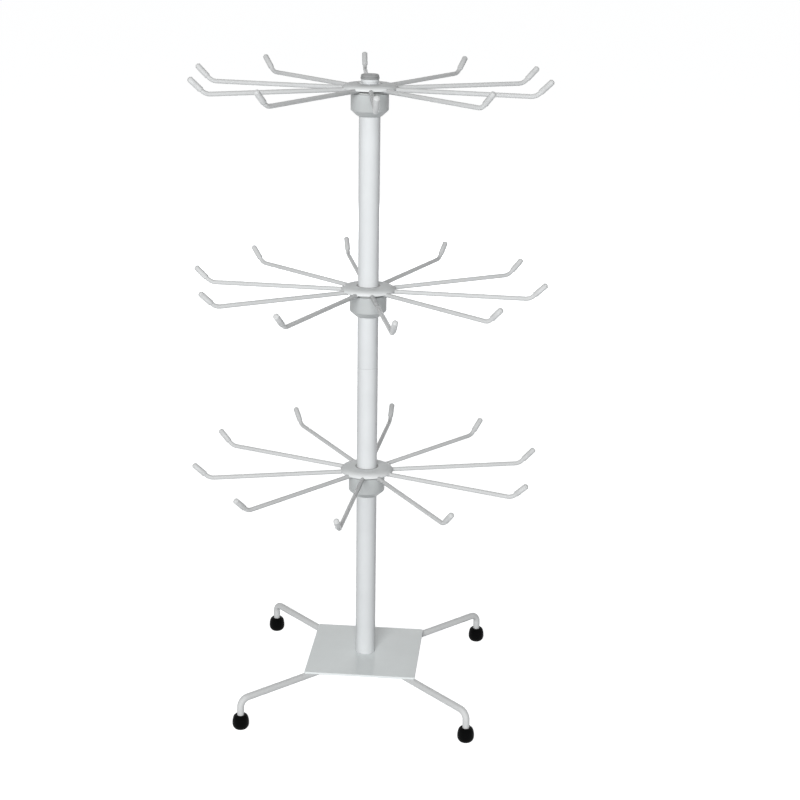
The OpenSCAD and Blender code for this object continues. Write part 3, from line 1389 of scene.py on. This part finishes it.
@dataclass
class Pole:
    """The pole: two lengths of tube, the plug in its top and what is hidden inside it.

    Attributes:
        outside: The tube's outer diameter.
        wall: The tube's wall.
        edge: The radius of the tube's ends.
        neck: The outer diameter of the neck at the top.
        neck_height: The height of that neck.
        groove: The depth and height of the groove under the neck.
        cap_rim: The diameter of the plug's rim.
        cap_rim_height: The height of that rim.
        cap_dome: The diameter of the plug's dome.
        cap_groove: The depth and height of the groove under the dome.
        cap_fall: How much lower the dome is at its edge than in its middle.
        cap_stem: The length of the plug's stem.
    """

    outside: float = 19.0
    wall: float = 1.5
    edge: float = 0.35
    neck: float = 16.0
    neck_height: float = 3.4
    groove: float = 0.5
    cap_rim: float = 16.6
    cap_rim_height: float = 1.7
    cap_dome: float = 16.0
    cap_groove: float = 0.3
    cap_fall: float = 0.15
    cap_stem: float = 10.0

    def lower_tube(self) -> Mesh:
        """Returns the mesh of the lower length of tube."""
        outer, radii = self.outside / 2, [0.0, self.edge, self.edge, 0.0]
        return turned(heights_of("pole_lower"), outer - self.wall, outer, radii, 128)

    def upper_tube(self) -> Mesh:
        """Returns the mesh of the upper length of tube, with the neck at its top."""
        low, high = heights_of("pole_upper")
        inner, outer = self.outside / 2 - self.wall, self.outside / 2
        neck, neck_bore = self.neck / 2, self.neck / 2 - self.wall
        shoulder, waist = high - self.neck_height, neck - self.groove
        corners = [
            (inner, low), (outer, low), (outer, shoulder), (waist, shoulder),
            (waist, shoulder + self.groove), (neck, shoulder + self.groove), (neck, high),
            (neck_bore, high), (neck_bore, shoulder - self.wall),
            (inner, shoulder - self.wall - (outer - neck)),
        ]
        radii = [0.0, self.edge, 0.5, 0.0, 0.0, 0.6, 0.9, 0.0, 0.5, 0.5]
        return lathe(rounded(corners, radii), 128)

    def cap(self) -> Mesh:
        """Returns the plug's mesh: a stem, a rim on the tube and a low dome."""
        low, high = heights_of("top_cap")
        seat = low + self.cap_stem
        stem, rim, dome = self.neck / 2 - self.wall - SLIP, self.cap_rim / 2, self.cap_dome / 2
        shoulder, waist = seat + self.cap_rim_height, dome - self.cap_groove
        corners = [
            (0.0, low), (stem, low), (stem, seat), (rim, seat), (rim, shoulder),
            (waist, shoulder), (waist, shoulder + self.cap_groove),
            (dome, shoulder + self.cap_groove), (dome, high - self.cap_fall), (0.0, high),
        ]
        radii = [0.0, 0.5, 0.0, 0.2, 0.25, 0.0, 0.0, 0.12, 1.4, 0.0]
        return lathe(rounded(corners, radii, steps=5), 96)

    def build(self) -> None:
        """Builds and dresses the tubes and the plug, and finishes what is inside them."""
        dress("pole_lower", self.lower_tube(), POLE_WHITE)
        dress("pole_upper", self.upper_tube(), POLE_WHITE)
        dress("top_cap", self.cap(), CAP_GREY)
        for node in ("pole_connector", "pole_foot_insert"):
            coat_node(node, BRIGHT_ZINC)


@dataclass
class Base:
    """The base: a square plate, four bent legs welded under it, and a rubber foot on each leg.

    Attributes:
        plate: The side of the plate.
        corner: The radius of the plate's corners.
        rim: The radius of the plate's edge.
        hole: The diameter of the bolt hole.
        spacing: The distance between the centres of two neighbouring feet.
        leg: The diameter of the leg rod.
        leg_inner: The distance of a leg's inner end from the axis.
        leg_bend: The centreline radius of the leg's bend.
        leg_end: The height of the leg's end above the floor.
        leg_edge: The radius of the edge of the leg's ends.
        set_in: How deep a leg sits in the plate.
        weld: The weld beads of a leg.
        weld_places: The distances of those beads from the axis.
        weld_inset: How far they lie inside the leg's side.
        foot: The largest diameter of a foot.
        foot_top: The diameter of a foot at its top.
        foot_height: The height of a foot.
        foot_crown: The height of the rounded edge at a foot's top.
        foot_sole: The diameter of a foot's flat underside.
        foot_recess: The depth of the hollow in that underside.
        foot_waist: The height at which a foot is widest.
    """

    plate: float = 105.0
    corner: float = 2.0
    rim: float = 0.55
    hole: float = 8.4
    spacing: float = 208.0
    leg: float = 6.5
    leg_inner: float = 22.0
    leg_bend: float = 8.0
    leg_end: float = 4.0
    leg_edge: float = 0.5
    set_in: float = 0.4
    weld: WeldBead = WeldBead(length=10.0, width=1.7, height=1.9)
    weld_places: tuple[float, ...] = (31.0, 49.0, 64.0)
    weld_inset: float = 0.9
    foot: float = 15.5
    foot_top: float = 10.5
    foot_height: float = 14.0
    foot_crown: float = 0.5
    foot_sole: float = 7.5
    foot_recess: float = 0.35
    foot_waist: float = 5.5

    @property
    def leg_axis(self) -> float:
        """Returns the height of the axis of a leg's straight part."""
        return heights_of("base_plate")[0] - self.leg / 2 + self.set_in

    @property
    def foot_reach(self) -> float:
        """Returns the distance of a foot's centre from the axis."""
        return self.spacing / math.sqrt(2)

    def plate_mesh(self) -> Mesh:
        """Returns the plate's mesh, with a rounded rim and its bolt hole."""
        low, high = heights_of("base_plate")
        rim_steps, corner_steps = 4, 8
        angles = [QUARTER_TURN * step / rim_steps for step in range(rim_steps + 1)]
        rims = [
            (self.rim * (1 - math.sin(a)), low + self.rim * (1 - math.cos(a))) for a in angles
        ]
        rims += [(inset, high + low - height) for inset, height in reversed(rims)]
        middle = self.plate / 2 - self.corner
        levels = []
        for inset, height in rims:
            outline = []
            for quarter in range(4):
                diagonal = QUARTER_TURN * (quarter + 0.5)
                x = math.copysign(middle, math.cos(diagonal))
                y = math.copysign(middle, math.sin(diagonal))
                for step in range(corner_steps + 1):
                    a = QUARTER_TURN * (quarter + step / corner_steps)
                    radius = self.corner - inset
                    outline.append((x + radius * math.cos(a), y + radius * math.sin(a)))
            levels.append((height, outline))
        punch = cylinder(self.hole / 2, low - OVERCUT, high + OVERCUT, 48)
        return combined(layered(levels), punch)

    def leg_mesh(self) -> Mesh:
        """Returns one leg along +X with its weld beads, which hang under the plate."""
        lengths = {
            "Radius": self.leg / 2,
            "Inner": self.leg_inner,
            "Corner": self.foot_reach,
            "Bend radius": self.leg_bend,
            "Tail": self.leg_axis - self.leg_bend - self.leg_end,
            "Edge": self.leg_edge,
            "Height": self.leg_axis,
        }
        rod = bent_rod(lengths, QUARTER_TURN, BendSide.DOWN, LEG_WHITE)
        aside, height = self.leg / 2 - self.weld_inset, heights_of("base_plate")[0]
        welds = [
            self.weld.pair(reach, aside, height, seed=3 * number)
            for number, reach in enumerate(self.weld_places)
        ]
        return merged([rod, *welds])

    def foot_mesh(self) -> Mesh:
        """Returns one foot round the origin: egg-shaped, hollow below and open for the leg."""
        widest, top, sole = self.foot / 2, self.foot_top / 2, self.foot_sole / 2
        waist, height, recess = self.foot_waist, self.foot_height, self.foot_recess
        crown, socket = height - self.foot_crown, self.leg / 2 + SLIP
        hollow, ledge, bevel = sole - 1.2, 0.1, 0.2
        below = [(0.0, recess), (hollow, recess), (sole - 0.8, 0.0)]
        lower = oval((sole, waist), widest - sole, waist, range(-90, 1, 10))
        upper = oval((top, waist), widest - top, crown - waist, range(10, 81, 10))
        mouth = rounded(
            [(top + ledge, crown), (top - bevel, height), (socket, height),
             (socket, self.leg_end), (0.0, self.leg_end)],
            [0.0, 0.2, 0.25, 0.0, 0.0],
            steps=5,
        )
        return lathe([*below, *lower, *upper, *mouth], 72)

    def build(self) -> None:
        """Builds and dresses the plate, the legs and the feet."""
        dress("base_plate", self.plate_mesh(), PLATE_WHITE)
        level, first, step = [0.0] * len(Corner), 45.0, 90.0
        legs = copies(self.leg_mesh(), level, LEG_WHITE, first, step)
        dress("bent_legs", legs, LEG_WHITE, nodes=[f"leg_{c.value}" for c in Corner])
        feet = copies(self.foot_mesh(), level, FOOT_BLACK, first, step, self.foot_reach)
        dress("rubber_feet", feet, FOOT_BLACK, nodes=[f"foot_{c.value}" for c in Corner])


@dataclass
class BaseFastening:
    """The hexagon bolt and washer under the plate that hold the pole.

    Attributes:
        head: The bolt head's size across flats.
        head_height: The height of the head.
        shank: The diameter of the bolt.
        washer: The washer's diameter.
        washer_hole: The washer's hole.
    """

    head: float = 13.0
    head_height: float = 5.3
    shank: float = 8.0
    washer: float = 24.0
    washer_hole: float = 8.4

    def bolt_mesh(self) -> Mesh:
        """Returns the bolt's mesh: a chamfered hexagon head and a plain shank."""
        low, high = heights_of("base_bolt")
        under, flat = low + self.head_height, self.head / 2
        reach, inset, rise, clear = flat / HEXAGON_SLANT, 0.2, 1.0, 0.5
        outline = [
            (0.0, low), (flat - inset, low), (reach, low + rise), (reach + clear, under),
            (0.0, under),
        ]
        bar = hexagon_bar(self.head, low, under)
        head = combined(bar, lathe(outline, 96), "INTERSECT")
        shank = turned((under, high), 0.0, self.shank / 2, [0.0, 0.0, 0.8, 0.0], 48, steps=3)
        return merged([head, shank])

    def build(self) -> None:
        """Builds and dresses the bolt and the washer."""
        dress("base_bolt", self.bolt_mesh(), BRIGHT_ZINC)
        inner, outer = self.washer_hole / 2, self.washer / 2
        washer = turned(heights_of("base_washer"), inner, outer, [0.2, 0.5, 0.1, 0.1], 72)
        dress("base_washer", washer, BRIGHT_ZINC)


# --- Studio ---


@dataclass(frozen=True)
class SoftBox:
    """One area lamp that looks at the rack.

    Attributes:
        name: The lamp's name.
        direction: Its direction from the pole in degrees from +X.
        elevation: Its angle above the floor in degrees.
        distance: Its distance in metres.
        width: Its width in metres.
        height: Its height in metres.
        power: Its power in watts.
        aim: The height in metres that it looks at.
    """

    name: str
    direction: float
    elevation: float
    distance: float
    width: float
    height: float
    power: float
    aim: float = 0.3

    def build(self) -> None:
        """Hangs the lamp, hidden from the camera and from gloss, which shows the surround."""
        lamp = bpy.data.lights.new(self.name, "AREA")
        lamp.shape = "RECTANGLE"
        lamp.size, lamp.size_y = self.width, self.height
        lamp.energy = self.power
        across, up = math.radians(self.direction), math.radians(self.elevation)
        target = Vector((0.0, 0.0, self.aim))
        spot = target + self.distance * Vector(
            (math.cos(up) * math.cos(across), math.cos(up) * math.sin(across), math.sin(up))
        )
        hung = bpy.data.objects.new(self.name, lamp)
        hung.location = spot
        hung.rotation_euler = (target - spot).to_track_quat("-Z", "Y").to_euler()
        hung.visible_camera = hung.visible_glossy = False
        bpy.context.scene.collection.objects.link(hung)
        LOG.info("%s: %.0f W", self.name, self.power)


@dataclass(frozen=True)
class Studio:
    """A white floor and surround, and the lamps.

    Attributes:
        ambient: The strength of the light that comes from all round.
        floor_bounce: The floor's own display colour, for the light that it throws back.
        floor_glow: How white the floor is before the lamps light it.
        floor_side: The side of the floor in metres.
        lamps: The lamps.
    """

    ambient: float = 0.15
    floor_bounce: Colour = (0.70, 0.71, 0.72)
    floor_glow: float = 0.925
    floor_side: float = 40.0
    lamps: tuple[SoftBox, ...] = (
        SoftBox("key", 267.0, 26.6, 2.4, 1.2, 0.22, 38.0, 0.05),
        SoftBox("front_fill", 264.0, 12.0, 2.2, 1.2, 0.45, 13.0),
        SoftBox("back_fill", 90.0, 4.0, 2.4, 1.4, 0.6, 26.0),
    )

    def build(self) -> None:
        """Lays the floor, sets the surround and hangs the lamps."""
        self.lay_floor()
        self.set_surround()
        for lamp in self.lamps:
            lamp.build()

    def lay_floor(self) -> None:
        """Lays a white floor that keeps the rack's shadow."""
        half = self.floor_side / 2
        corners = [(-half, -half, 0.0), (half, -half, 0.0), (half, half, 0.0), (-half, half, 0.0)]
        mesh = bpy.data.meshes.new("floor")
        mesh.from_pydata(corners, [], [(0, 1, 2, 3)])
        floor = piece_from("floor", mesh)
        shader = Shader("floor_white")
        shader.tree.nodes.remove(shader.principled)
        colour = {"Color": linear(self.floor_bounce)}
        bounce = shader.made("ShaderNodeBsdfDiffuse", "BSDF", colour)
        glow = shader.made("ShaderNodeEmission", "Emission", {"Strength": self.floor_glow})
        both = shader.made("ShaderNodeAddShader", "Shader", {0: bounce, 1: glow})
        parts = {0: shader.seen_directly(), 1: bounce, 2: both}
        mixed = shader.made("ShaderNodeMixShader", "Shader", parts)
        shader.feed(shader.output.inputs["Surface"], mixed)
        mesh.materials.append(shader.material)

    def set_surround(self) -> None:
        """Makes the surround white to the eye and dimmer as a light."""
        world = bpy.data.worlds.new("surround")
        bpy.context.scene.world = world
        world.use_nodes = True
        nodes = Nodes(world.node_tree)
        limits = {"Value": nodes.seen_directly(), "To Min": self.ambient, "To Max": 1.0}
        strength = nodes.made("ShaderNodeMapRange", "Result", limits)
        inputs = {"Color": (1.0, 1.0, 1.0, 1.0), "Strength": strength}
        light = nodes.made("ShaderNodeBackground", "Background", inputs)
        nodes.feed(nodes.node("ShaderNodeOutputWorld").inputs["Surface"], light)


@dataclass(frozen=True)
class Viewpoint:
    """The camera.

    Attributes:
        place: Where it stands, in metres.
        heading: Its direction of view in degrees from +Y towards +X.
        pitch: How far it looks down, in degrees.
        roll: How far it leans, in degrees.
        lens: Its focal length in millimetres.
        sensor: Its sensor's width in millimetres.
        near: The nearest distance that it sees, in metres.
        far: The farthest distance that it sees, in metres.
    """

    place: tuple[float, float, float] = (0.1534, -1.4354, 0.7582)
    heading: float = -4.9
    pitch: float = 17.96
    roll: float = 0.85
    lens: float = 73.74
    sensor: float = 36.0
    near: float = 0.05
    far: float = 100.0

    def build(self) -> None:
        """Sets up the camera and makes it the scene's."""
        heading, pitch, roll = (math.radians(a) for a in (self.heading, self.pitch, self.roll))
        forward = math.cos(pitch)
        ahead = Vector(
            (math.sin(heading) * forward, math.cos(heading) * forward, -math.sin(pitch))
        )
        level = Vector((math.cos(heading), -math.sin(heading), 0.0))
        above = level.cross(ahead)
        right = math.cos(roll) * level + math.sin(roll) * above
        up = -math.sin(roll) * level + math.cos(roll) * above
        camera = bpy.data.cameras.new("camera")
        camera.lens, camera.sensor_width = self.lens, self.sensor
        camera.clip_start, camera.clip_end = self.near, self.far
        stand = bpy.data.objects.new("camera", camera)
        bpy.context.scene.collection.objects.link(stand)
        turned_to = Matrix((right, up, -ahead)).transposed().to_4x4()
        stand.matrix_world = Matrix.Translation(self.place) @ turned_to
        bpy.context.scene.camera = stand


# --- The rack ---

FIRST_HOOKS: dict[Tier, float] = {Tier.TOP: 26.0, Tier.MIDDLE: 32.0, Tier.BOTTOM: 15.0}


def main() -> None:
    """Builds the studio and the rack, piece by piece."""
    logging.basicConfig(level=logging.INFO, format="%(name)s %(message)s")
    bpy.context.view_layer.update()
    bpy.context.scene.view_settings.view_transform = "Standard"
    for part in (Viewpoint(), Studio(), Base(), BaseFastening(), Pole()):
        part.build()
    collars = [Collar(tier, first) for tier, first in FIRST_HOOKS.items()]
    for collar in collars:
        collar.build()
        TurningHub(collar.tier, collar.first).build()
        WireHooks(collar.tier, collar.first).build()
    GrubScrews([collar.screw_height for collar in collars]).build()


if __name__ == "__main__":
    main()
